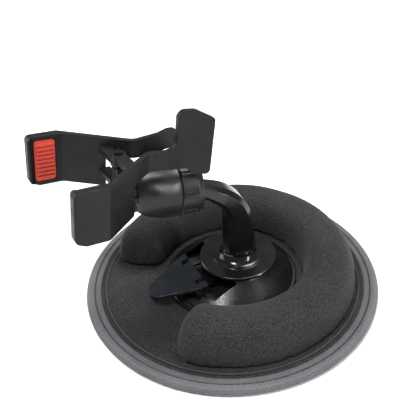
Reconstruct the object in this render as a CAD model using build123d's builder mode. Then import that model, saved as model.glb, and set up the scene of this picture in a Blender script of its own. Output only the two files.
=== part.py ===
from build123d import *
import os
from math import atan2, cos, degrees, pi, radians, sin, sqrt, tan

# Phone mount for a car dashboard: a weighted fabric friction base carries a lever-locked
# suction foot, a short bent arm, a ball joint with a ring nut and a sprung pinch clip.
# Millimetres, +Z up, origin at the centre of the underside. The clip opens towards -Y.

os.makedirs("parts", exist_ok=True)

# ---------------------------------------------------------------- driving dimensions
# friction base
base_radius = 96.0
pad_radius = 89.0
pad_top = 1.4
board_radius = 92.5
board_top = 3.4
fabric_top = 4.2
fabric_radius = 90.0
band_inner_radius = 86.5
seam_radius = 90.3
binding_top = 6.0
piping_radius = 83.6
piping_wire = 0.6
disc_radius = 43.0
disc_top = 5.4

# C-shaped cushion, and the yaw of the base under the arm
base_yaw = -10.0
cushion_inner = 46.0
cushion_outer = 82.4
cushion_crest = 63.5
cushion_top = 32.2
inner_power = 2.8
outer_power = 2.45
cushion_wall = 1.8
gap_half_angle = 34.5
end_wall_angle = 2.0

# suction foot
cup_radius = 41.5
housing_base_radius = 40.6
housing_base_z = 6.6
housing_top_radius = 26.0
housing_top_z = 20.2
housing_wall = 2.5
deck_bottom = 8.7
deck_top = 9.9
slot_half_width = 24.5
slot_start = 9.5
slot_floor = 12.0

# cam lever and plunger
pivot_out = 28.0
pivot_z = 15.0
cam_radius = 3.8
cam_throw = 1.64
cam_angle = -37.5
lever_range = 75.0
lever_slope = 10.4
lever_thick = 2.2
yoke_bottom = 13.5
yoke_top = 15.0
yoke_disc = 13.8
yoke_arm_inner = 9.0
yoke_arm_outer = 12.0
lever_pin_radius = 1.2
stud_radius = 3.0

# swivelling arm, on a pivot a little off the centre of the base
pivot_spot = Vector(3.3, 2.9, 0)
foot_radius = 25.1
foot_bottom = 20.7
foot_top = 22.7
hub_radius = 5.0
arm_width = 15.0
arm_bevel = 2.6

# ball joint: the arm is turned about its foot, and the socket leans up from horizontal
arm_turn = -15.0
ball_reach = 43.6
ball_height = 84.7
socket_tilt = 6.4
ball_radius = 11.0
fit_gap = 0.1
shell_outer = 12.5
socket_radius = 15.8
seam_n = -4.5
nut_end_n = -18.0
nut_radius = 16.0
nut_rib = 0.7

# pinch clip, in the head's frame: u across, v along the phone, n out towards the phone
head_turn = -4.0
head_tilt = 8.7
band_low = 1.0
band_high = 30.0
pin_n = 30.0
pin_radius = 1.5
knuckle_radius = 4.0
jaw_outer = 35.0
jaw_inner = 30.3
jaw_tip_n = 67.5
pad_pocket = 32.4
pad_face = 29.4
pad_rib = 0.9
pad_middle = (58.2, 15.5)
pad_long = 12.0
pad_tall = 24.4
pad_rib_step = 2.4
pad_rib_count = 9
lower_plate_n = 29.8
upper_lug_top = 28.2
foot_top_v = 4.7
foot_bottom_v = 1.5
pin_top = 29.4
pin_bottom = 0.0
pin_head_radius = 2.4
pin_groove_radius = 1.0
clip_top = 1.4
clip_thick = 0.7
spring_bottom = 13.2
spring_pitch = 1.25
spring_turns = 6
spring_radius = 2.9
spring_wire = 0.45
leg_wire = 0.42
spring_leg = 11.2
saddle_spot = (5.6, 25.2)
saddle_radius = 1.05
saddle_tip = 8.0
screw_head_radius = 2.0
screw_head = 1.6
screw_socket = 1.0
screw_floor = 0.6
far_handle_end = -13.5
blank_top = 54.0
blank_tall = 56.0
blank_width = 45.0

# ---------------------------------------------------------------- working frames
ball_centre = pivot_spot + Vector(0, -ball_reach, ball_height).rotate(Axis.Z, arm_turn)


def turned(x, tilt, turn):
    """Direction out along -Y raised by a tilt and turned about Z; x picks the axis."""
    a = radians(tilt)
    axes = (Vector(1, 0, 0), Vector(0, sin(a), cos(a)), Vector(0, -cos(a), sin(a)))
    return axes[x].rotate(Axis.Z, turn)


head_u, head_v, head_n = (turned(x, head_tilt, head_turn) for x in range(3))
socket_u, socket_v, socket_n = (turned(x, socket_tilt, arm_turn) for x in range(3))
yaw = radians(base_yaw)
base_across = Vector(cos(yaw), sin(yaw), 0)
base_front = Vector(sin(yaw), -cos(yaw), 0)


def across_head(n):
    """Plane across the head's axis, n from the ball's centre, facing the phone."""
    return Plane(origin=ball_centre + head_n * n, x_dir=head_u, z_dir=head_n)


def across_socket(n):
    """Plane across the ball joint's axis, n from the ball's centre, facing the clip."""
    return Plane(origin=ball_centre + socket_n * n, x_dir=socket_u, z_dir=socket_n)


def level_in_head(v):
    """Plane at height v in the head, local x along u and y along n; extrudes downwards."""
    return Plane(origin=ball_centre + head_v * v, x_dir=head_u, z_dir=head_v * -1)


def side_of_head():
    """Middle plane of the head, local x along n and y along v."""
    return Plane(origin=ball_centre, x_dir=head_n, z_dir=head_u * -1)


def base_level(z):
    """Level plane turned with the base: local -y points to the lever's tip."""
    return Plane(origin=(0, 0, z), x_dir=base_across, z_dir=(0, 0, 1))


def base_side(w):
    """Upright plane along the lever, local x outwards from the centre and y up."""
    return Plane(origin=base_across * w, x_dir=base_front, z_dir=base_across * -1)


def around_base(azimuth):
    """Upright half-plane through the Z axis at an azimuth, local x outwards and y up."""
    a = radians(azimuth)
    return Plane(origin=(0, 0, 0), x_dir=(cos(a), sin(a), 0), z_dir=(sin(a), -cos(a), 0))


def cushion_outline(inset):
    """Crowned section of the cushion, pulled in by inset: two superellipse quarters."""
    points = []
    steps = 24
    for i in range(steps + 1):
        t = pi * i / steps
        c = cos(t)
        power = outer_power if c >= 0 else inner_power
        reach = cushion_outer - cushion_crest if c >= 0 else cushion_crest - cushion_inner
        side = 1 if c >= 0 else -1
        r = cushion_crest + side * (reach - inset) * abs(c) ** (2 / power)
        z = fabric_top + (cushion_top - inset - fabric_top) * abs(sin(t)) ** (2 / power)
        points.append((r, z))
    return points


def finish(part, name):
    """Label a finished sub-part and write it as one STEP file."""
    part.label = name
    export_step(part, "parts/" + name + ".step")


front_azimuth = -90 + base_yaw

# ---------------------------------------------------------------- friction base
with BuildPart() as grip_pad:
    with BuildSketch(Plane.XY):
        Circle(pad_radius)
    extrude(amount=pad_top)
finish(grip_pad.part, "grip_pad")

with BuildPart() as base_board:
    with BuildSketch(Plane.XY.offset(pad_top)):
        Circle(board_radius)
    extrude(amount=board_top - pad_top)
finish(base_board.part, "base_board")

with BuildPart() as base_fabric:
    with BuildSketch(Plane.XY.offset(board_top)):
        Circle(fabric_radius)
        Circle(disc_radius + 0.3, mode=Mode.SUBTRACT)
    extrude(amount=fabric_top - board_top)
finish(base_fabric.part, "base_fabric")

with BuildPart() as mounting_disc:
    with BuildSketch(Plane.XY.offset(board_top)):
        Circle(disc_radius)
    extrude(amount=disc_top - board_top)
    chamfer(mounting_disc.edges().group_by(Axis.Z)[-1], length=0.6)
finish(mounting_disc.part, "mounting_disc")

# rolled binding that wraps the rim of the board and the fabric
with BuildPart() as edge_binding:
    with BuildSketch(Plane.XZ):
        with BuildLine():
            Polyline(
                (pad_radius + 0.6, 0.4),
                (base_radius - 1.6, 0.4),
                (base_radius, 2.0),
                (base_radius, binding_top - 2.2),
                (base_radius - 2.2, binding_top),
                (seam_radius + 0.9, binding_top),
                (seam_radius, binding_top - 0.7),
                (seam_radius, board_top),
                (board_radius, board_top),
                (board_radius, pad_top),
                (pad_radius + 0.6, pad_top),
                close=True,
            )
        make_face()
    revolve(axis=Axis.Z)
finish(edge_binding.part, "edge_binding")

with BuildPart() as trim_band:
    with BuildSketch(Plane.XY.offset(fabric_top)):
        Circle(seam_radius - 0.4)
        Circle(band_inner_radius, mode=Mode.SUBTRACT)
    extrude(amount=0.9)
finish(trim_band.part, "trim_band")

with BuildPart() as seam_piping:
    with BuildSketch(Plane.XZ):
        with Locations((piping_radius, fabric_top + piping_wire)):
            Circle(piping_wire)
    revolve(axis=Axis.Z)
finish(seam_piping.part, "seam_piping")

# sewn C-shaped cover, open below, with its ends closed
gap_end = front_azimuth + gap_half_angle
cushion_sweep = 360 - 2 * gap_half_angle
with BuildPart() as cushion_cover:
    with BuildSketch(around_base(gap_end)):
        with BuildLine():
            crown = Spline(*cushion_outline(0))
            Line(crown @ 1, crown @ 0)
        make_face()
    revolve(axis=Axis.Z, revolution_arc=cushion_sweep)
    with BuildSketch(around_base(gap_end + end_wall_angle)):
        with BuildLine():
            lining = Spline(*cushion_outline(cushion_wall))
            Line(lining @ 1, lining @ 0)
        make_face()
    revolve(axis=Axis.Z, revolution_arc=cushion_sweep - 2 * end_wall_angle, mode=Mode.SUBTRACT)
finish(cushion_cover.part, "cushion_cover")

# bead filling, one closed body inside the cover
with BuildPart() as bead_fill:
    with BuildSketch(around_base(gap_end + end_wall_angle + 0.4)):
        with BuildLine():
            heap = Spline(*cushion_outline(cushion_wall + 0.3))
            Line(heap @ 1, heap @ 0)
        make_face()
    revolve(axis=Axis.Z, revolution_arc=cushion_sweep - 2 * end_wall_angle - 0.8)
finish(bead_fill.part, "bead_fill")

# ---------------------------------------------------------------- suction foot
with BuildPart() as suction_cup:
    with BuildSketch(Plane.XZ):
        with BuildLine():
            Polyline(
                (0, disc_top + 1.9),
                (8, disc_top + 1.9),
                (34, disc_top),
                (cup_radius, disc_top),
                (cup_radius, disc_top + 0.9),
                (35, disc_top + 1.2),
                (9, deck_bottom - 0.3),
                (6.4, deck_bottom - 0.1),
                (6.4, yoke_bottom - 2.6),
                (0, yoke_bottom - 2.6),
                close=True,
            )
        make_face()
    revolve(axis=Axis.Z)
    with BuildSketch(Plane.XY.offset(yoke_bottom - 2.6)):
        Circle(stud_radius)
    extrude(amount=-2.4, mode=Mode.SUBTRACT)
finish(suction_cup.part, "suction_cup")

with BuildPart() as suction_housing:
    with BuildSketch(Plane.XZ):
        with BuildLine():
            Polyline(
                (0, housing_top_z),
                (housing_top_radius - 1.5, housing_top_z),
                (housing_top_radius, housing_top_z - 1.5),
                (housing_base_radius, housing_base_z + 1.2),
                (housing_base_radius, housing_base_z),
                (housing_base_radius - housing_wall, housing_base_z),
                (housing_base_radius - housing_wall - 1.2, deck_bottom),
                (9.0, deck_bottom),
                (9.0, deck_top),
                (housing_base_radius - housing_wall - 3.2, deck_top),
                (housing_top_radius - 1.0, housing_top_z - housing_wall),
                (0, housing_top_z - housing_wall),
                close=True,
            )
        make_face()
    revolve(axis=Axis.Z)
    # bearing for the arm's hub
    with BuildSketch(Plane.XY.offset(housing_top_z)):
        with Locations(pivot_spot):
            Circle(hub_radius + 0.08)
    extrude(amount=-housing_wall, mode=Mode.SUBTRACT)
    with BuildSketch(base_level(slot_floor)):
        with Locations((0, -(slot_start + 30))):
            Rectangle(2 * slot_half_width, 60)
    extrude(amount=20, mode=Mode.SUBTRACT)
    # well in the slot's floor where the cams roll on the deck
    with BuildSketch(base_level(deck_top)):
        with Locations((0, -27.2)):
            Rectangle(35.0, 14.6)
    extrude(amount=20, mode=Mode.SUBTRACT)
finish(suction_housing.part, "suction_housing")

with BuildPart() as plunger_stud:
    with BuildSketch(Plane.XY.offset(yoke_bottom - 4.9)):
        Circle(stud_radius - 0.05)
    extrude(amount=4.9)
finish(plunger_stud.part, "plunger_stud")

with BuildPart() as lift_yoke:
    with BuildSketch(base_level(yoke_bottom)):
        Circle(yoke_disc)
        for side in (-1, 1):
            with Locations((side * (yoke_arm_inner + yoke_arm_outer) / 2, -pivot_out / 2)):
                Rectangle(yoke_arm_outer - yoke_arm_inner, pivot_out)
    extrude(amount=yoke_top - yoke_bottom)
    for side in (-1, 1):
        with BuildSketch(base_side(side * yoke_arm_outer if side < 0 else yoke_arm_inner)):
            with Locations((pivot_out, pivot_z)):
                Circle(2.2)
        extrude(amount=-(yoke_arm_outer - yoke_arm_inner))
    with BuildSketch(base_side(0)):
        with Locations((pivot_out, pivot_z)):
            Circle(lever_pin_radius)
    extrude(amount=20, both=True, mode=Mode.SUBTRACT)
finish(lift_yoke.part, "lift_yoke")

# spring round the arm's retaining screw, which pushes the yoke back down
lift_coil = 8.6
coil_foot = pivot_spot + Vector(0, 0, yoke_top + 0.4)
with BuildPart() as return_spring:
    with BuildLine():
        Helix(pitch=1.1, height=1.9, radius=lift_coil, center=coil_foot)
    with BuildSketch(Plane(origin=coil_foot + Vector(lift_coil, 0, 0), z_dir=(0, 1, 0.02))):
        Circle(0.33)
    sweep(is_frenet=True)
finish(return_spring.part, "return_spring")

with BuildPart() as lever_pin:
    with BuildSketch(base_side(-16.8)):
        with Locations((pivot_out, pivot_z)):
            Circle(lever_pin_radius)
    extrude(amount=-33.6)
finish(lever_pin.part, "lever_pin")


def lever_top(out):
    """Height of the paddle's top face at a distance out from the centre."""
    return 19.6 - (out - 25.8) * tan(radians(lever_slope))


# paddle lever: a tapering shield with two eccentric cams under its inner end
cam_centre = (
    pivot_out + cam_throw * cos(radians(cam_angle)),
    pivot_z + cam_throw * sin(radians(cam_angle)),
)
with BuildPart() as suction_lever:
    with BuildSketch(base_side(0)):
        with BuildLine():
            Polyline(
                (25.8, lever_top(25.8)),
                (59.0, lever_top(59.0)),
                (59.0, lever_top(59.0) - lever_thick),
                (25.8, lever_top(25.8) - lever_thick),
                close=True,
            )
        make_face()
    extrude(amount=20, both=True)
    with BuildSketch(base_level(0)):
        with BuildLine():
            right = Spline((17.8, -25.0), (15.8, -33.0), (11.6, -43.0), (7.4, -53.0))
            left = Spline((-7.4, -53.0), (-11.6, -43.0), (-15.8, -33.0), (-17.8, -25.0))
            ThreePointArc(right @ 1, (0, -58.6), left @ 0)
            Line(left @ 1, right @ 0)
        make_face()
    extrude(amount=40, mode=Mode.INTERSECT)
    for side in (-1, 1):
        with BuildSketch(base_level(0)):
            with Locations((side * (yoke_arm_inner + yoke_arm_outer) / 2, -27.4)):
                Rectangle(yoke_arm_outer - yoke_arm_inner + 0.8, 7.2)
        extrude(amount=40, mode=Mode.SUBTRACT)
        with BuildSketch(base_side(-16.2 if side < 0 else 12.5)):
            with Locations(cam_centre):
                Circle(cam_radius)
            with Locations((pivot_out + 2.2, pivot_z + 1.6)):
                Rectangle(3.6, 3.6)
        extrude(amount=-3.7)
    with BuildSketch(base_side(0)):
        with Locations((pivot_out, pivot_z)):
            Circle(lever_pin_radius + 0.06)
    extrude(amount=20, both=True, mode=Mode.SUBTRACT)
finish(suction_lever.part, "suction_lever")

# ---------------------------------------------------------------- swivelling arm
with BuildPart() as swivel_washer:
    with BuildSketch(Plane.XY.offset(housing_top_z)):
        Circle(housing_top_radius - 3)
        with Locations(pivot_spot):
            Circle(hub_radius + 0.3, mode=Mode.SUBTRACT)
        with Locations(base_front * (slot_start + 30)):
            Rectangle(80, 60, rotation=base_yaw, mode=Mode.SUBTRACT)
    extrude(amount=0.3)
finish(swivel_washer.part, "swivel_washer")

# the arm is drawn along -Y over its own foot, then turned and set on the pivot
# centre line of column, bend and neck, and the width and height along it
arm_line = Spline(
    (0, 0.8, foot_top - 0.4),
    (0, 0.7, 34.0),
    (0, 0.4, 43.0),
    (0, -0.2, 53.0),
    (0, -2.8, 62.6),
    (0, -8.9, 70.8),
    (0, -16.8, 76.4),
    (0, -26.5, 81.2),
    (0, -36.2, 83.6),
    tangents=[(0, 0, 1), (0, -0.986, 0.165)],
)
arm_sizes = [
    (0.0, 17.0, 19.0),
    (0.12, 16.4, 18.2),
    (0.34, 15.8, 16.4),
    (0.48, 15.4, 14.2),
    (0.66, 14.8, 11.6),
    (0.76, 13.2, 9.8),
    (0.88, 8.6, 8.0),
    (1.0, 7.6, 7.6),
]
arm_section_count = 18
arm_bevel_share = 0.18
collar_radius = 9.8
collar_fillet = 6.6
collar_rim = foot_top + 0.3


def bevelled_section(y, z, slope, width, height, bevel):
    """Rectangle with cut corners across the arm at one place."""
    a = radians(slope)
    plane = Plane(origin=(0, y, z), x_dir=(1, 0, 0), z_dir=(0, -cos(a), sin(a)))
    with BuildSketch(plane) as section:
        Rectangle(width, height)
        chamfer(section.vertices(), length=bevel)
    return section.sketch


def arm_section(share):
    """Bevelled section of the arm at a share of its length, between the sizes listed."""
    place = arm_line.position_at(share, position_mode=PositionMode.PARAMETER)
    along = arm_line.tangent_at(share, position_mode=PositionMode.PARAMETER)
    slope = degrees(atan2(along.Z, -along.Y))
    for start, end in zip(arm_sizes[:-1], arm_sizes[1:]):
        if start[0] <= share <= end[0]:
            mix = (share - start[0]) / (end[0] - start[0])
            width = start[1] + mix * (end[1] - start[1])
            height = start[2] + mix * (end[2] - start[2])
    return bevelled_section(place.Y, place.Z, slope, width, height, arm_bevel_share * width)


with BuildPart() as swivel_arm:
    # foot disc and the hub that turns in the housing
    with BuildSketch(Plane.XZ):
        with BuildLine():
            Polyline(
                (0, housing_top_z - housing_wall - 0.2),
                (hub_radius, housing_top_z - housing_wall - 0.2),
                (hub_radius, foot_bottom),
                (foot_radius - 0.5, foot_bottom),
                (foot_radius, foot_bottom + 0.5),
                (foot_radius, foot_top - 0.5),
                (foot_radius - 0.5, foot_top),
                (0, foot_top),
                close=True,
            )
        make_face()
    revolve(axis=Axis.Z)
    # hollow round flare where the column grows out of the disc
    with BuildSketch(Plane.XZ):
        with BuildLine():
            skirt = ThreePointArc(
                (collar_radius + collar_fillet, collar_rim),
                (
                    collar_radius + collar_fillet * (1 - sin(pi / 4)),
                    collar_rim + collar_fillet * (1 - sin(pi / 4)),
                ),
                (collar_radius, collar_rim + collar_fillet),
            )
            Polyline(
                skirt @ 1,
                (0, collar_rim + collar_fillet),
                (0, foot_top),
                (collar_radius + collar_fillet, foot_top),
                skirt @ 0,
            )
        make_face()
    revolve(axis=Axis.Z)
    # column, bend and neck, all with bevelled corners
    loft(sections=[arm_section(i / arm_section_count) for i in range(arm_section_count + 1)])
    with Locations((0, -ball_reach, ball_height)):
        Sphere(ball_radius)
    # bore for the pivot screw
    with Locations((0, 0, foot_bottom + 4)):
        Cylinder(1.6, 16.0, mode=Mode.SUBTRACT)
arm_place = Location(pivot_spot, (0, 0, arm_turn))
finish(swivel_arm.part.moved(arm_place), "swivel_arm")

with BuildPart() as retaining_washer:
    with BuildSketch(Plane.XY.offset(housing_top_z - housing_wall - 0.8)):
        with Locations(pivot_spot):
            Circle(7.0)
            Circle(1.65, mode=Mode.SUBTRACT)
    extrude(amount=0.6)
finish(retaining_washer.part, "retaining_washer")

with BuildPart() as pivot_screw:
    with BuildSketch(Plane.XY.offset(housing_top_z - housing_wall - 1.9)):
        with Locations(pivot_spot):
            Circle(3.2)
    extrude(amount=1.1)
    with BuildSketch(Plane.XY.offset(housing_top_z - housing_wall - 0.8)):
        with Locations(pivot_spot):
            Circle(1.58)
    extrude(amount=10.0)
finish(pivot_screw.part, "pivot_screw")

# ---------------------------------------------------------------- ball joint
cavity_radius = shell_outer + fit_gap


def ball_shell(low_n, high_n):
    """Spherical liner around the ball between two planes across the head's axis."""
    with BuildPart() as shell:
        with Locations(across_socket(0)):
            Sphere(shell_outer)
            Sphere(ball_radius + fit_gap, mode=Mode.SUBTRACT)
        with BuildSketch(across_socket(low_n)):
            Circle(20)
        extrude(amount=high_n - low_n, mode=Mode.INTERSECT)
    return shell.part


finish(ball_shell(-8.6, -5.2), "friction_ring")
finish(ball_shell(1.2, shell_outer + 1), "seat_cup")

# sections of the dome towards the clip: n, width, height, corner radius, lift along v
dome_sections = (
    (5.0, 31.4, 31.0, 15.2, 0.5),
    (12.0, 29.6, 28.8, 13.4, 1.6),
    (18.5, 25.6, 24.0, 10.2, 3.0),
    (22.8, 19.6, 18.0, 7.2, 4.4),
)
barrel_radius = 14.4
barrel_bore = 13.6
barrel_end_n = -8.4
with BuildPart() as socket_housing:
    # dome: round at the seam, drawn in and lifted where it meets the clip
    with BuildSketch(across_socket(seam_n)):
        RectangleRounded(2 * socket_radius, 2 * socket_radius, socket_radius - 0.05)
    for n, wide, tall, corner, lift in dome_sections:
        with BuildSketch(across_head(n)):
            with Locations((0, lift)):
                RectangleRounded(wide, tall, corner)
    loft()
    with BuildSketch(across_socket(seam_n)):
        Circle(barrel_radius)
    extrude(amount=barrel_end_n - seam_n)
    # ball cavity, open to the rear
    with Locations(across_socket(0)):
        Sphere(cavity_radius, rotation=(0, 0, 90), mode=Mode.SUBTRACT)
    with BuildSketch(across_socket(-3.2)):
        Circle(barrel_bore)
    extrude(amount=-8, mode=Mode.SUBTRACT)
    # lug that carries the hinge pin
    with BuildSketch(level_in_head(8.8)):
        with Locations((0, pin_n)):
            Circle(knuckle_radius)
        with Locations((0, pin_n - 5)):
            Rectangle(2 * knuckle_radius, 10)
        with Locations((5.2, 24.6)):
            Rectangle(6.4, 5.6)
    extrude(amount=3.8)
    with BuildSketch(level_in_head(20)):
        with Locations((0, pin_n)):
            Circle(pin_radius + 0.02)
        with Locations((5.6, 25.2)):
            Circle(1.1)
    extrude(amount=20, mode=Mode.SUBTRACT)
finish(socket_housing.part, "socket_housing")

rib_count = 8
rib_start = 12.0
rib_width = 1.5
rib_pitch = 8.0
with BuildPart() as ring_nut:
    with BuildSketch(Plane(origin=ball_centre, x_dir=socket_n, z_dir=socket_u * -1)):
        with BuildLine():
            rim = Polyline(
                (-5.0, sqrt(cavity_radius**2 - 25.0)),
                (-5.0, 13.3),
                (-8.7, 13.3),
                (-8.7, 14.7),
                (seam_n - 0.4, 14.7),
                (seam_n - 0.4, nut_radius - 0.5),
                (seam_n - 0.9, nut_radius),
                (-14.6, nut_radius),
                (nut_end_n, 14.6),
                (nut_end_n, 12.8),
                (-9.8, 7.9),
            )
            ThreePointArc(
                rim @ 1,
                (-cavity_radius * cos(radians(54)), cavity_radius * sin(radians(54))),
                rim @ 0,
            )
        make_face()
    revolve(axis=Axis(ball_centre, socket_n))
    # grip ribs along the nut, in pairs
    with BuildSketch(across_socket(-14.0)):
        for turn in (rib_start, rib_start + rib_pitch):
            with PolarLocations(nut_radius, rib_count, start_angle=turn):
                Rectangle(2 * nut_rib, rib_width)
    extrude(amount=8.4)
finish(ring_nut.part, "ring_nut")

# ---------------------------------------------------------------- pinch clip


def jaw_arm(side):
    """Section of a jaw arm seen along the hinge: hooked jaw, diagonal plate and handle."""
    corners = (
        (jaw_outer, 50.1, 2.0),
        (jaw_outer, jaw_tip_n, 1.2),
        (jaw_inner - 2.0, jaw_tip_n, 1.0),
        (jaw_inner, jaw_tip_n - 3.2, 0.6),
        (jaw_inner, 48.75, 1.5),
        (6.75, 17.35, 8.6),
        (14.2, -19.3, 0.2),
        (17.0, -18.7, 0.2),
        (9.85, 16.65, 5.7),
    )
    with BuildSketch(mode=Mode.PRIVATE) as strip:
        with BuildLine():
            FilletPolyline(
                [(side * u, n) for u, n, r in corners],
                close=True,
                radius=[r for u, n, r in corners],
            )
        make_face()
    return strip.sketch_local


def knuckle(side, top, thick):
    """Bar from a jaw arm's plate to the hinge pin, with a round end."""
    with BuildPart(mode=Mode.PRIVATE) as bar:
        with BuildSketch(level_in_head(top)):
            with Locations((0, pin_n)):
                Circle(knuckle_radius)
            with Locations((side * 8.6, pin_n)):
                Rectangle(17.2, 2 * knuckle_radius - 1.6)
            with Locations((0, pin_n)):
                Circle(pin_radius + 0.06, mode=Mode.SUBTRACT)
        extrude(amount=thick)
    return bar.part


def pad_recess(side, depth):
    """Pocket for a jaw's soft pad, open towards the phone."""
    with BuildPart(mode=Mode.PRIVATE) as recess:
        with BuildSketch(side_of_head().offset(-side * (pad_pocket - depth))):
            with Locations(pad_middle):
                RectangleRounded(pad_long, pad_tall, 2.0)
        extrude(amount=-side * depth)
    return recess.part


with BuildPart() as fixed_jaw_arm:
    with BuildSketch(level_in_head(blank_top)):
        add(jaw_arm(1))
    extrude(amount=blank_tall)
    # outline seen from the side: jaw, plate, step over the socket and tall thumb wing
    with BuildSketch(side_of_head()):
        with BuildLine():
            FilletPolyline(
                (jaw_tip_n, band_low + 2.6),
                (jaw_tip_n, band_high - 0.2),
                (52.0, band_high),
                (2.4, band_high),
                (2.6, 52.6),
                (-7.0, 52.6),
                (-17.6, 47.4),
                (-17.2, 14.8),
                (-8.0, 14.8),
                (-4.0, 19.4),
                (lower_plate_n, 19.4),
                (lower_plate_n, band_low),
                (62.0, band_low),
                close=True,
                radius=(3.0, 3.0, 1.0, 6.0, 4.5, 6.0, 2.6, 2.6, 2.0, 2.0, 2.0, 1.0, 3.0),
            )
        make_face()
    extrude(amount=-blank_width, mode=Mode.INTERSECT)
    add(knuckle(1, upper_lug_top, 3.0))
    add(knuckle(1, foot_top_v, foot_top_v - foot_bottom_v))
    # foot of the lower knuckle, screwed under the socket's lug
    with BuildSketch(level_in_head(foot_top_v)):
        with Locations((3.8, 25.3)):
            Rectangle(13.0, 4.8)
    extrude(amount=foot_top_v - foot_bottom_v)
    with BuildSketch(level_in_head(foot_top_v)):
        with Locations(saddle_spot):
            Circle(saddle_radius + 0.1)
    extrude(amount=foot_top_v - foot_bottom_v, mode=Mode.SUBTRACT)
    add(pad_recess(1, 6.0), mode=Mode.SUBTRACT)
finish(fixed_jaw_arm.part, "fixed_jaw_arm")

with BuildPart() as moving_jaw_arm:
    with BuildSketch(level_in_head(blank_top)):
        add(jaw_arm(-1))
    extrude(amount=blank_tall)
    with BuildSketch(side_of_head()):
        with BuildLine():
            FilletPolyline(
                (jaw_tip_n, band_low + 2.6),
                (jaw_tip_n, band_high - 0.2),
                (52.0, band_high),
                (0.0, band_high),
                (-6.0, band_high + 1.2),
                (far_handle_end, band_high + 0.4),
                (far_handle_end, 19.6),
                (29.6, 19.6),
                (29.6, band_low),
                (62.0, band_low),
                close=True,
                radius=(3.0, 3.0, 1.0, 1.0, 1.0, 4.6, 4.6, 2.0, 2.0, 3.0),
            )
        make_face()
    extrude(amount=blank_width, mode=Mode.INTERSECT)
    add(knuckle(-1, 24.9, 3.0))
    add(knuckle(-1, 12.1, 3.0))
    add(pad_recess(-1, 6.0), mode=Mode.SUBTRACT)
finish(moving_jaw_arm.part, "moving_jaw_arm")

# ribbed rubber pads inside the jaws
for side, pad_name in ((1, "fixed_jaw_pad"), (-1, "moving_jaw_pad")):
    with BuildPart() as jaw_pad:
        with BuildSketch(side_of_head().offset(-side * (pad_face + pad_rib))):
            with Locations(pad_middle):
                RectangleRounded(pad_long - 0.8, pad_tall - 0.8, 1.8)
        extrude(amount=-side * (pad_pocket - pad_face - pad_rib))
        with BuildSketch(side_of_head().offset(-side * pad_face)):
            with Locations(pad_middle):
                with GridLocations(pad_long, pad_rib_step, 1, pad_rib_count):
                    Rectangle(pad_long - 2.4, pad_rib_step / 2)
        extrude(amount=-side * pad_rib)
    finish(jaw_pad.part, pad_name)

# hinge pin with a flat head, and the clip on its lower end
with BuildPart() as hinge_pin:
    with BuildSketch(level_in_head(pin_top)):
        with Locations((0, pin_n)):
            Circle(pin_head_radius)
    extrude(amount=pin_top - upper_lug_top)
    with BuildSketch(level_in_head(upper_lug_top)):
        with Locations((0, pin_n)):
            Circle(pin_radius)
    extrude(amount=upper_lug_top - pin_bottom)
    with BuildSketch(level_in_head(clip_top)):
        with Locations((0, pin_n)):
            Circle(pin_radius)
            Circle(pin_groove_radius, mode=Mode.SUBTRACT)
    extrude(amount=clip_thick, mode=Mode.SUBTRACT)
finish(hinge_pin.part, "hinge_pin")

with BuildPart() as pin_clip:
    with BuildSketch(level_in_head(clip_top)):
        with Locations((0, pin_n)):
            Circle(pin_head_radius + 0.5)
            Circle(pin_groove_radius, mode=Mode.SUBTRACT)
        with Locations((0, pin_n + pin_head_radius)):
            Rectangle(2 * pin_groove_radius, 2 * pin_head_radius, mode=Mode.SUBTRACT)
    extrude(amount=clip_thick)
finish(pin_clip.part, "pin_clip")

# wire spring round the pin: its ends push the two handles apart
with BuildPart() as spring_coil:
    with BuildLine():
        Helix(spring_pitch, spring_pitch * spring_turns, spring_radius)
    with BuildSketch(Plane(origin=(spring_radius, 0, 0), z_dir=(0, 1, 0.07))):
        Circle(spring_wire)
    sweep(is_frenet=True)
    for height, side in ((0, -1), (spring_pitch * spring_turns, 1)):
        with Locations(Location(Plane(origin=(spring_radius, 0, height), z_dir=(0, side, 0)))):
            Cylinder(leg_wire, spring_leg, align=(Align.CENTER, Align.CENTER, Align.MIN))
coil_base = ball_centre + head_n * pin_n + head_v * spring_bottom
coil_frame = Plane(origin=coil_base, x_dir=head_n * -1, z_dir=head_v)
clamp_spring = spring_coil.part.moved(Location(coil_frame))
finish(clamp_spring, "clamp_spring")

# screw holding the fixed arm's lower knuckle up under the socket's lug
with BuildPart() as saddle_screw:
    with BuildSketch(level_in_head(foot_bottom_v)):
        with Locations(saddle_spot):
            Circle(screw_head_radius)
            RegularPolygon(screw_socket, 6, mode=Mode.SUBTRACT)
    extrude(amount=screw_head)
    with BuildSketch(level_in_head(saddle_tip)):
        with Locations(saddle_spot):
            Circle(saddle_radius)
    extrude(amount=saddle_tip - foot_bottom_v + screw_floor)
finish(saddle_screw.part, "saddle_screw")
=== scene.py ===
"""Looks of a dashboard phone mount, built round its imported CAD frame. Metres, +Z up."""

import math

import bmesh
import bpy
import numpy as np
from mathutils import Matrix, Vector, noise


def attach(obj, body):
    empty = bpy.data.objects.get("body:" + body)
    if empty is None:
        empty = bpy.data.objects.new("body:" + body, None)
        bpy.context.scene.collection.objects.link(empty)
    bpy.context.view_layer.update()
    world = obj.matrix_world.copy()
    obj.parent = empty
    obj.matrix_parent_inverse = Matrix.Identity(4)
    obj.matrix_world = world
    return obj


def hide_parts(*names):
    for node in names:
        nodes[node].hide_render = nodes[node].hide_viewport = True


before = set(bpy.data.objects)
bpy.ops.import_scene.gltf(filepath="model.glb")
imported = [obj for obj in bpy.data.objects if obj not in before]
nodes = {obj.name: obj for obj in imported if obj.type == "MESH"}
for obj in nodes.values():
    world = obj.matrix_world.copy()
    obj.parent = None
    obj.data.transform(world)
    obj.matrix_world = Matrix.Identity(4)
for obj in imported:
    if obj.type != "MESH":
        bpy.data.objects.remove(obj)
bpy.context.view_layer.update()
MM = 0.001

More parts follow.
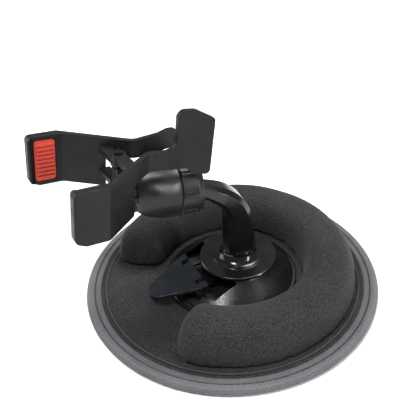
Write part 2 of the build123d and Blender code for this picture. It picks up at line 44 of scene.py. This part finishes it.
# ---------------------------------------------------------------- sizes, in mm
BASE_YAW = math.radians(-10.0)
GAP_MIDDLE = math.radians(-90.0) + BASE_YAW
GAP_HALF = math.radians(34.5)
CUSHION_INNER = 46.0
CUSHION_OUTER = 82.4
CUSHION_CREST = 63.5
CUSHION_TOP = 32.2
CUSHION_INNER_POWER = 2.8
CUSHION_OUTER_POWER = 2.45
CUSHION_SEW_IN = 1.6
CUSHION_LIFT = 0.5
END_ROUND = 13.0
END_POWER = 3.2
END_STEPS = (0.02, 0.15, 0.5, 1.1, 2.0, 3.2, 4.8, 6.8, 9.5)
MIDDLE_STEPS = 120
FABRIC_TOP = 4.2
FABRIC_UNDER = 3.5
FABRIC_HOLE = 44.0
FABRIC_EDGE = 87.0
STITCHES = 168
STITCH_R = 90.5
PIPING_R = 83.3
PIPING_Z = 4.55
EDGE_ROUND = 0.0006

# ---------------------------------------------------------------- cloth settings
VOXEL = 0.0028
PRESSURE = 4.0
LAST_FRAME = 16
SWELL_LIMIT = 0.0022


# ---------------------------------------------------------------- shader helpers
class Shader:
    """A Principled material and short ways to wire procedural detail into it."""

    def __init__(self, name, colour, roughness, **sockets):
        self.material = bpy.data.materials.new(name)
        self.material.use_nodes = True
        self.tree = self.material.node_tree
        self.bsdf = self.tree.nodes["Principled BSDF"]
        self.bsdf.inputs["Base Color"].default_value = (*colour, 1)
        self.bsdf.inputs["Roughness"].default_value = roughness
        for key, value in sockets.items():
            self.bsdf.inputs[key.replace("_", " ")].default_value = value
        self.place = self.node("ShaderNodeTexCoord").outputs["Object"]

    def node(self, kind, **settings):
        made = self.tree.nodes.new(kind)
        for key, value in settings.items():
            setattr(made, key, value)
        return made

    def link(self, a, b):
        self.tree.links.new(a, b)

    def noise(self, scale, detail=2.0, rough=0.5):
        made = self.node("ShaderNodeTexNoise")
        made.inputs["Scale"].default_value = scale
        made.inputs["Detail"].default_value = detail
        made.inputs["Roughness"].default_value = rough
        self.link(self.place, made.inputs["Vector"])
        return made.outputs["Fac"]

    def bands(self, scale, direction, distortion=0.0):
        made = self.node("ShaderNodeTexWave", bands_direction=direction)
        made.inputs["Scale"].default_value = scale
        made.inputs["Distortion"].default_value = distortion
        self.link(self.place, made.inputs["Vector"])
        return made.outputs["Fac"]

    def ramp(self, value, low, high, a, b):
        """Maps value from a..b to low..high."""
        made = self.node("ShaderNodeMapRange")
        made.inputs["From Min"].default_value = a
        made.inputs["From Max"].default_value = b
        made.inputs["To Min"].default_value = low
        made.inputs["To Max"].default_value = high
        self.link(value, made.inputs["Value"])
        return made.outputs["Result"]

    def sum(self, a, b, share):
        """a plus share times b."""
        made = self.node("ShaderNodeMath", operation="MULTIPLY_ADD")
        self.link(b, made.inputs[0])
        made.inputs[1].default_value = share
        self.link(a, made.inputs[2])
        return made.outputs[0]

    def mix(self, factor, dark, light):
        made = self.node("ShaderNodeMix", data_type="RGBA")
        for socket, value in ((6, dark), (7, light)):
            if isinstance(value, tuple):
                made.inputs[socket].default_value = (*value, 1)
            else:
                self.link(value, made.inputs[socket])
        self.link(factor, made.inputs[0])
        return made.outputs[2]

    def colour(self, socket):
        self.link(socket, self.bsdf.inputs["Base Color"])

    def roughness(self, socket):
        self.link(socket, self.bsdf.inputs["Roughness"])

    def bump(self, height, distance, strength=1.0, edge=0.0):
        """Raises the surface by height; edge rounds sharp corners by that radius."""
        made = self.node("ShaderNodeBump")
        if edge:
            rounded = self.node("ShaderNodeBevel", samples=6)
            rounded.inputs["Radius"].default_value = edge
            self.link(rounded.outputs["Normal"], made.inputs["Normal"])
        made.inputs["Strength"].default_value = strength
        made.inputs["Distance"].default_value = distance
        self.link(height, made.inputs["Height"])
        self.link(made.outputs["Normal"], self.bsdf.inputs["Normal"])


def moulded(name, dark, light, rough, grain, depth, **sockets):
    """Moulded plastic: fine grain, faint flow mottling and rubbed patches."""
    s = Shader(name, dark, rough, **sockets)
    patches = s.noise(55.0, 3.0)
    fine = s.noise(grain, 2.0, 0.6)
    s.colour(s.mix(s.ramp(s.sum(patches, fine, 0.5), 0.0, 1.0, 0.45, 1.1), dark, light))
    s.roughness(s.ramp(s.noise(140.0, 4.0, 0.65), rough * 0.75, rough * 1.35, 0.3, 0.7))
    s.bump(s.sum(fine, s.noise(90.0, 2.0), 0.6), depth, edge=EDGE_ROUND)
    return s.material


def knitted(name, dark, light, loop, depth, **sockets):
    """Fine jersey: crossed loop rows, flecked yarn and slow tonal drift."""
    s = Shader(name, dark, 0.92, **sockets)
    rows = s.sum(s.bands(loop, "X", 1.6), s.bands(loop, "Z", 1.6), 1.0)
    rows = s.sum(rows, s.bands(loop, "Y", 1.6), 1.0)
    fleck = s.noise(1500.0, 2.0, 0.75)
    mottle = s.noise(620.0, 3.0, 0.7)
    drift = s.noise(16.0, 2.0)
    tone = s.sum(s.sum(s.ramp(fleck, 0.0, 1.0, 0.38, 0.68), mottle, 0.45), drift, 0.5)
    s.colour(s.mix(s.ramp(tone, 0.0, 1.0, 0.6, 1.3), dark, light))
    s.roughness(s.ramp(mottle, 0.82, 1.0, 0.3, 0.7))
    s.bump(s.sum(s.sum(rows, fleck, 2.0), mottle, 0.8), depth)
    return s.material


def woven(name, dark, light, pitch, depth, **sockets):
    """Plain-woven tape: warp and weft ridges with slightly uneven yarn."""
    s = Shader(name, dark, 0.8, **sockets)
    weave = s.sum(s.bands(pitch, "X", 0.8), s.bands(pitch, "Y", 0.8), 1.0)
    weave = s.sum(weave, s.bands(pitch, "Z", 0.8), 1.0)
    yarn = s.noise(700.0, 3.0, 0.7)
    tone = s.sum(s.sum(yarn, s.noise(24.0, 2.0), 0.8), weave, 0.15)
    s.colour(s.mix(s.ramp(tone, 0.0, 1.0, 0.7, 1.45), dark, light))
    s.roughness(s.ramp(yarn, 0.68, 0.92, 0.3, 0.7))
    s.bump(s.sum(weave, yarn, 1.5), depth)
    return s.material


def metal(name, colour, rough):
    """Plated wire and pins: fine drawing lines and dull spots."""
    s = Shader(name, colour, rough, Metallic=1.0)
    lines = s.noise(900.0, 2.0, 0.6)
    s.roughness(s.ramp(s.noise(300.0, 3.0), rough * 0.7, rough * 1.6, 0.3, 0.7))
    s.bump(lines, 0.00001)
    return s.material


def rubbery(name, dark, light, rough, depth):
    """Soft rubber: dusty bloom and a very fine matt skin."""
    s = Shader(name, dark, rough)
    bloom = s.noise(40.0, 4.0, 0.6)
    skin = s.noise(1300.0, 2.0, 0.6)
    s.colour(s.mix(s.ramp(s.sum(bloom, skin, 0.35), 0.0, 1.0, 0.5, 0.95), dark, light))
    s.roughness(s.ramp(bloom, rough * 0.85, min(1.0, rough * 1.2), 0.3, 0.7))
    s.bump(skin, depth)
    return s.material


KNIT = knitted("Charcoal_knit", (0.005, 0.005, 0.0055), (0.034, 0.034, 0.0353), 190.0, 0.00005,
               Sheen_Weight=0.05, Sheen_Roughness=0.5, Specular_IOR_Level=0.2)
FLOOR_KNIT = knitted("Base_knit", (0.005, 0.005, 0.0055), (0.038, 0.038, 0.0397), 190.0, 0.00006,
                     Sheen_Weight=0.05, Sheen_Roughness=0.5, Specular_IOR_Level=0.2)
TAPE = woven("Binding_tape", (0.028, 0.03, 0.033), (0.12, 0.123, 0.13), 260.0, 0.00004,
             Sheen_Weight=0.08)
BAND = woven("Trim_tape", (0.03, 0.031, 0.034), (0.085, 0.087, 0.092), 260.0, 0.00004,
             Sheen_Weight=0.05)
THREAD = woven("Stitch_thread", (0.004, 0.004, 0.005), (0.016, 0.016, 0.018), 900.0, 0.00002)
CORD = woven("Piping_cord", (0.012, 0.0125, 0.014), (0.04, 0.041, 0.045), 600.0, 0.00003)
GLOSS = moulded("Gloss_black", (0.003, 0.003, 0.0032), (0.008, 0.008, 0.0085), 0.16, 1500.0,
                0.000005, Specular_IOR_Level=0.42)
GLOSS_LEVER = moulded("Gloss_lever", (0.005, 0.0062, 0.0085), (0.013, 0.0155, 0.02), 0.2,
                      1200.0, 0.000006, Specular_IOR_Level=0.3)
SPARK = moulded("Textured_gloss", (0.003, 0.003, 0.0033), (0.01, 0.01, 0.0105), 0.27, 1100.0,
                0.00006, Specular_IOR_Level=0.38)
SATIN = moulded("Satin_black", (0.006, 0.006, 0.0062), (0.016, 0.016, 0.0165), 0.34, 1300.0,
                0.00001, Specular_IOR_Level=0.3)
CHARCOAL = moulded("Matt_charcoal", (0.0045, 0.0045, 0.0047), (0.009, 0.009, 0.0094), 0.4,
                   1500.0, 0.000016, Specular_IOR_Level=0.22)
RED = rubbery("Red_rubber", (0.42, 0.03, 0.016), (0.6, 0.06, 0.035), 0.6, 0.00003)
BLACK_RUBBER = rubbery("Black_rubber", (0.005, 0.005, 0.0055), (0.016, 0.016, 0.017), 0.7, 0.00003)
STEEL = metal("Zinc_steel", (0.5, 0.5, 0.51), 0.28)
DARK_STEEL = metal("Blackened_steel", (0.035, 0.035, 0.037), 0.3)


# ---------------------------------------------------------------- mesh helpers
def mesh_object(name, verts, faces, material, smooth=True):
    """Object of one material from vertices in metres, with its faces turned outwards."""
    mesh = bpy.data.meshes.new(name)
    mesh.from_pydata([tuple(v) for v in verts], [], faces)
    mesh.validate()
    shaped = bmesh.new()
    shaped.from_mesh(mesh)
    bmesh.ops.recalc_face_normals(shaped, faces=shaped.faces)
    shaped.to_mesh(mesh)
    shaped.free()
    made = bpy.data.objects.new(name, mesh)
    bpy.context.scene.collection.objects.link(made)
    mesh.materials.append(material)
    if smooth:
        mesh.polygons.foreach_set("use_smooth", [True] * len(mesh.polygons))
    return made


def ring_mesh(name, section, count, material):
    """Closed ring: section(angle) gives a loop of (radius, height) in mm."""
    verts, faces = [], []
    for i in range(count):
        a = 2 * math.pi * i / count
        loop = section(a)
        for r, z in loop:
            verts.append((r * MM * math.cos(a), r * MM * math.sin(a), z * MM))
    size = len(loop)
    for i in range(count):
        j = (i + 1) % count
        for k in range(size):
            n = (k + 1) % size
            faces.append((i * size + k, j * size + k, j * size + n, i * size + n))
    return mesh_object(name, verts, faces, material)


def ride_as(piece, body, slot, *stands_for):
    """Ties a piece to a body, in place of the CAD nodes named. The slot argument is not used."""
    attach(piece, body)
    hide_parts(*stands_for)
    return piece


def bake_modifiers(piece):
    """Replaces the piece's mesh by the one its modifiers give."""
    graph = bpy.context.evaluated_depsgraph_get()
    baked = bpy.data.meshes.new_from_object(piece.evaluated_get(graph))
    piece.modifiers.clear()
    piece.data = baked
    baked.polygons.foreach_set("use_smooth", [True] * len(baked.polygons))


def catmull(points, steps):
    """Closed smooth loop through the points."""
    out, n = [], len(points)
    for i in range(n):
        p0, p1, p2, p3 = (np.array(points[(i + k) % n], float) for k in (-1, 0, 1, 2))
        for s in range(steps):
            t = s / steps
            out.append(tuple(0.5 * (2 * p1 + (p2 - p0) * t + (2 * p0 - 5 * p1 + 4 * p2 - p3) * t**2
                                    + (3 * p1 - p0 - 3 * p2 + p3) * t**3)))
    return out


# ---------------------------------------------------------------- rim
def binding_section(a):
    """Rolled tape round the board's edge, pinched a little at every stitch."""
    pull = 0.5 + 0.5 * math.cos(STITCHES * a)
    slow = 0.14 * math.sin(5 * a + 0.7) + 0.1 * math.sin(11 * a)
    points = [
        (90.55 + 0.12 * pull, 4.35),
        (90.75 + 0.12 * pull, 5.1 - 0.25 * pull),
        (91.7, 5.75 - 0.1 * pull + 0.4 * slow),
        (93.0, 5.85),
        (94.7, 5.2),
        (95.7, 3.9),
        (95.85, 2.6 + slow),
        (95.2, 1.2),
        (94.0, 0.55),
        (92.4, 0.5),
        (92.3, 2.2),
        (92.0, 3.9),
    ]
    return catmull(points, 3)


def band_section(a):
    """Flat tape between the binding's seam and the flange."""
    pull = 0.5 + 0.5 * math.cos(STITCHES * a)
    ripple = 0.06 * math.sin(17 * a) + 0.05 * math.sin(29 * a + 1.0)
    points = [
        (86.75, 4.3),
        (86.7, 4.85),
        (87.4, 5.1 + ripple),
        (88.6, 5.12 + ripple),
        (89.7, 5.0 + ripple),
        (90.25 - 0.15 * pull, 4.75 - 0.15 * pull),
        (90.3 - 0.12 * pull, 4.3),
    ]
    return catmull(points, 2)


ride_as(ring_mesh("Edge_binding", binding_section, STITCHES * 6, TAPE),
        "base", "light_binding", "edge_binding")
ride_as(ring_mesh("Trim_band", band_section, STITCHES * 6, BAND),
        "base", "light_binding", "trim_band")


def stitch_row(name, radius, height, count, length, thick, body, material):
    """A row of sunken thread capsules along a circle."""
    verts, faces = [], []
    rings, sides = 6, 7
    for i in range(count):
        a = 2 * math.pi * (i + 0.5) / count
        wobble = 0.1 * math.sin(3.1 * i) + 0.08 * math.sin(7.7 * i + 1)
        r = radius + wobble
        start = len(verts)
        for k in range(rings + 1):
            t = k / rings
            along = (t - 0.5) * length
            swell = math.sqrt(max(0.02, 1 - (2 * t - 1) ** 2)) * thick
            sag = -0.35 * thick * (2 * t - 1) ** 2
            at = a + along / radius
            for m in range(sides):
                b = 2 * math.pi * m / sides
                rr = r + swell * math.cos(b) + 0.12 * (t - 0.5)
                verts.append((rr * MM * math.cos(at), rr * MM * math.sin(at),
                              (height + sag + 0.7 * swell * math.sin(b)) * MM))
        for k in range(rings):
            for m in range(sides):
                n = (m + 1) % sides
                p, q = start + k * sides, start + (k + 1) * sides
                faces.append((p + m, p + n, q + n, q + m))
        faces.append(tuple(start + m for m in range(sides)))
        faces.append(tuple(start + rings * sides + m for m in reversed(range(sides))))
    made = mesh_object(name, verts, faces, material)
    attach(made, body)
    return made


stitches = stitch_row("Rim_stitches", STITCH_R, 4.95, STITCHES, 2.5, 0.32, "base", THREAD)


# ---------------------------------------------------------------- base fabric
def fabric_height(r, a):
    """Top of the base cloth: taut, with a soft roll by the cushion and faint ripples."""
    turn = (a - GAP_MIDDLE + math.pi) % (2 * math.pi) - math.pi
    open_part = max(0.0, 1 - (abs(turn) / (GAP_HALF * 0.95)) ** 4)
    ripple = 0.16 * math.sin(0.11 * r * math.cos(2 * a) + 3 * a) + 0.1 * math.sin(0.21 * r + 5 * a)
    roll = math.exp(-(((r - 80.0) / 2.4) ** 2)) * 0.5 + math.exp(-(((r - 83.8) / 0.9) ** 2)) * -0.45
    rise = 0.35 * math.exp(-(((r - 62.0) / 12.0) ** 2))
    return FABRIC_TOP + 0.05 + open_part * (ripple + rise) + roll


def fabric_disc():
    verts, faces = [], []
    turns = 240
    roll_start = FABRIC_EDGE - 7.5
    radii = [FABRIC_HOLE + i for i in range(36)] + [roll_start + 0.5 * i for i in range(16)]
    for side in (0, 1):
        for r in radii:
            for i in range(turns):
                a = 2 * math.pi * i / turns
                z = fabric_height(r, a) if side == 0 else FABRIC_UNDER
                verts.append((r * MM * math.cos(a), r * MM * math.sin(a), z * MM))
    rows = len(radii)
    for side in (0, 1):
        base = side * rows * turns
        for k in range(rows - 1):
            for i in range(turns):
                j = (i + 1) % turns
                faces.append((base + k * turns + i, base + k * turns + j,
                              base + (k + 1) * turns + j, base + (k + 1) * turns + i))
    for row in (0, rows - 1):
        for i in range(turns):
            j = (i + 1) % turns
            a, b = row * turns + i, row * turns + j
            faces.append((a, b, rows * turns + b, rows * turns + a))
    return mesh_object("Base_fabric", verts, faces, FLOOR_KNIT)


base_fabric = ride_as(fabric_disc(), "base", "knit", "base_fabric")


# ---------------------------------------------------------------- cushion
def cushion_section(scale, inset):
    """Loop of (radius, height) of the cushion's section, scaled about its foot."""
    loop, steps = [], 30
    for k in range(steps + 1):
        t = math.pi * k / steps
        c, s = math.cos(t), math.sin(t)
        power = CUSHION_OUTER_POWER if c >= 0 else CUSHION_INNER_POWER
        reach = CUSHION_OUTER - CUSHION_CREST if c >= 0 else CUSHION_CREST - CUSHION_INNER
        r = math.copysign((reach - inset) * abs(c) ** (2 / power), c)
        z = (CUSHION_TOP - FABRIC_TOP - inset) * abs(s) ** (2 / power)
        loop.append((CUSHION_CREST + scale * r, FABRIC_TOP + CUSHION_LIFT + scale * z))
    first, last = loop[0][0], loop[-1][0]
    for k in range(1, 12):
        loop.append((last + (first - last) * k / 12, FABRIC_TOP + CUSHION_LIFT))
    return loop


def cushion_blank(inset):
    """C-shaped blank whose ends round off like a stuffed tube."""
    verts, faces = [], []
    start = GAP_MIDDLE + GAP_HALF + inset / CUSHION_CREST
    sweep = 2 * math.pi - 2 * (GAP_HALF + inset / CUSHION_CREST)
    arc = sweep * CUSHION_CREST
    places = [*END_STEPS, END_ROUND]
    pitch = (arc - 2 * END_ROUND) / MIDDLE_STEPS
    middle = [END_ROUND + pitch * (k + 1) for k in range(MIDDLE_STEPS - 1)]
    places = places + middle + [arc - p for p in reversed(places)]
    for d in places:
        near = min(d, arc - d)
        share = min(1.0, near / END_ROUND)
        scale = (1 - (1 - share) ** END_POWER) ** (1 / END_POWER)
        a = start + sweep * d / arc
        for r, z in cushion_section(scale, inset):
            verts.append((r * MM * math.cos(a), r * MM * math.sin(a), z * MM))
    size = len(cushion_section(1, inset))
    for i in range(len(places) - 1):
        for k in range(size):
            n = (k + 1) % size
            faces.append((i * size + k, (i + 1) * size + k, (i + 1) * size + n, i * size + n))
    faces.append(tuple(range(size)))
    faces.append(tuple(reversed(range((len(places) - 1) * size, len(places) * size))))
    return mesh_object("Cushion", verts, faces, KNIT)


def inflate(piece, limit):
    """Swells the stuffed cover with Cloth pressure, its foot sewn down to the base."""
    remesh = piece.modifiers.new("Voxels", "REMESH")
    remesh.mode = "VOXEL"
    remesh.voxel_size = VOXEL
    bake_modifiers(piece)
    count = len(piece.data.vertices)
    rest = np.zeros(count * 3)
    piece.data.vertices.foreach_get("co", rest)
    rest = rest.reshape(-1, 3)
    sewn = piece.vertex_groups.new(name="sewn")
    for i in np.nonzero(rest[:, 2] < (FABRIC_TOP + 1.6) * MM)[0]:
        sewn.add([int(i)], 1.0, "REPLACE")
    cloth = piece.modifiers.new("Cloth", "CLOTH")
    cloth.settings.use_pressure = True
    cloth.settings.uniform_pressure_force = PRESSURE
    cloth.settings.vertex_group_mass = "sewn"
    cloth.settings.effector_weights.gravity = 0.0
    cloth.settings.quality = 6
    scene = bpy.context.scene
    for number in range(1, LAST_FRAME + 1):
        scene.frame_set(number)
    graph = bpy.context.evaluated_depsgraph_get()
    swollen = piece.evaluated_get(graph).to_mesh()
    moved = np.zeros(count * 3)
    swollen.vertices.foreach_get("co", moved)
    moved = moved.reshape(-1, 3)
    piece.modifiers.clear()
    scene.frame_set(1)
    step = moved - rest
    far = np.linalg.norm(step, axis=1)
    step *= np.minimum(1.0, limit / np.maximum(far, 1e-9))[:, None]
    piece.data.vertices.foreach_set("co", (rest + step).ravel())
    piece.data.update()


def cushion_wrinkles(piece):
    """Slow lumps of the fill and short puckers where the cover is sewn down."""
    mesh = piece.data
    count = len(mesh.vertices)
    co = np.zeros(count * 3)
    no = np.zeros(count * 3)
    mesh.vertices.foreach_get("co", co)
    mesh.vertices.foreach_get("normal", no)
    co, no = co.reshape(-1, 3), no.reshape(-1, 3)
    out = co.copy()
    for i in range(count):
        p = Vector(co[i])
        lump = noise.noise(p * 26.0) * 0.45 + noise.noise(p * 60.0 + Vector((3, 1, 2))) * 0.16
        a = math.atan2(p.y, p.x)
        r = math.hypot(p.x, p.y) / MM
        z = p.z / MM - FABRIC_TOP
        low = math.exp(-((z / 4.5) ** 2))
        pucker = 0.22 * math.sin(74 * a + 2.0 * noise.noise(Vector((a * 3, 0, 0)))) * low
        edge = 1.0 if r > CUSHION_CREST else 0.5
        turn = (a - GAP_MIDDLE + math.pi) % (2 * math.pi) - math.pi
        from_end = (abs(turn) - GAP_HALF) * r
        fold = -0.5 * math.exp(-(((from_end - 9.0) / 2.6) ** 2)) * math.exp(-(((z - 9) / 7) ** 2))
        move = (lump + pucker * edge + (fold if from_end > 0 else 0)) * MM
        if z > 0.7:
            out[i] = co[i] + no[i] * move
    mesh.vertices.foreach_set("co", out.ravel())
    mesh.update()


cushion = cushion_blank(CUSHION_SEW_IN)
inflate(cushion, SWELL_LIMIT)
smooth_out = cushion.modifiers.new("Even", "SMOOTH")
smooth_out.factor = 0.5
smooth_out.iterations = 3
divide = cushion.modifiers.new("Fine", "SUBSURF")
divide.levels = divide.render_levels = 1
bake_modifiers(cushion)
cushion_wrinkles(cushion)
ride_as(cushion, "base", "knit", "cushion_cover", "bead_fill")


def piping_section(a):
    """Thin cord in the groove round the cushion's foot, with a slight twist."""
    twist = 0.07 * math.sin(150 * a)
    return [(PIPING_R + (0.55 + twist) * math.cos(b), PIPING_Z + (0.5 + twist) * math.sin(b))
            for b in (2 * math.pi * k / 10 for k in range(10))]


ride_as(ring_mesh("Seam_piping", piping_section, 900, CORD),
        "base", "light_binding", "seam_piping")

# ---------------------------------------------------------------- carried-over CAD pieces
finishes = {
    "grip_pad": BLACK_RUBBER, "base_board": SATIN, "mounting_disc": SPARK,
    "suction_cup": BLACK_RUBBER, "suction_housing": SPARK, "plunger_stud": SATIN,
    "lift_yoke": DARK_STEEL, "return_spring": STEEL, "lever_pin": DARK_STEEL,
    "suction_lever": GLOSS_LEVER, "swivel_washer": SATIN, "swivel_arm": GLOSS,
    "retaining_washer": STEEL, "pivot_screw": STEEL, "friction_ring": BLACK_RUBBER,
    "seat_cup": SATIN, "socket_housing": SATIN, "ring_nut": SATIN,
    "fixed_jaw_arm": CHARCOAL, "moving_jaw_arm": CHARCOAL, "fixed_jaw_pad": RED,
    "moving_jaw_pad": RED, "hinge_pin": DARK_STEEL, "pin_clip": DARK_STEEL, "clamp_spring": DARK_STEEL,
    "saddle_screw": DARK_STEEL,
}
for name, finish in finishes.items():
    nodes[name].data.materials.clear()
    nodes[name].data.materials.append(finish)


# ---------------------------------------------------------------- floor, light and camera
def floor_plane(name, size, colour):
    """White sweep under the mount; staged, so it isn't part of the object."""
    half = size / 2
    corners = [(-half, -half, 0), (half, -half, 0), (half, half, 0), (-half, half, 0)]
    s = Shader(name, colour, 0.9)
    s.colour(s.mix(s.ramp(s.noise(2.0, 2.0), 0.0, 1.0, 0.3, 0.7), colour,
                   tuple(min(1.0, c * 1.02) for c in colour)))
    made = mesh_object(name, corners, [(0, 1, 2, 3)], s.material, smooth=False)


floor_plane("Floor", 6.0, (0.86, 0.86, 0.86))

world = bpy.data.worlds.new("Studio")
bpy.context.scene.world = world
world.use_nodes = True
world.node_tree.nodes["Background"].inputs["Color"].default_value = (1, 1, 1, 1)
world.node_tree.nodes["Background"].inputs["Strength"].default_value = 0.26


def soft_box(name, location, target, width, height, power):
    light = bpy.data.lights.new(name, "AREA")
    light.shape = "RECTANGLE"
    light.size, light.size_y = width, height
    light.energy = power
    made = bpy.data.objects.new(name, light)
    bpy.context.scene.collection.objects.link(made)
    made.location = location
    aim = Vector(target) - Vector(location)
    made.rotation_euler = aim.to_track_quat("-Z", "Y").to_euler()


soft_box("Key", (0.09, -0.42, 0.95), (0, 0, 0.05), 0.26, 0.2, 10.0)
soft_box("Top", (-0.2, 0.35, 1.0), (0, 0, 0.05), 0.55, 0.4, 10.0)
soft_box("Right_strip", (0.9, 0.45, 0.5), (0, 0, 0.07), 0.1, 0.7, 9.0)
soft_box("Left_fill", (-0.8, -0.5, 0.45), (0, 0, 0.06), 0.4, 0.6, 3.0)

camera_data = bpy.data.cameras.new("Camera")
camera_data.sensor_width = 36.0
camera_data.lens = 52.6086
camera_data.shift_x = -0.075
camera_data.clip_start = 0.01
camera = bpy.data.objects.new("Camera", camera_data)
bpy.context.scene.collection.objects.link(camera)
right = Vector((0.61942, 0.78476, -0.0219))
up = Vector((-0.43419, 0.36569, 0.82326))
back = Vector((0.65407, -0.50043, 0.56725))
turn = Matrix((right, up, back)).transposed().to_4x4()
camera.matrix_world = Matrix.Translation((0.234289, -0.179255, 0.267404)) @ turn
bpy.context.scene.camera = camera
bpy.context.scene.view_settings.view_transform = "Standard"
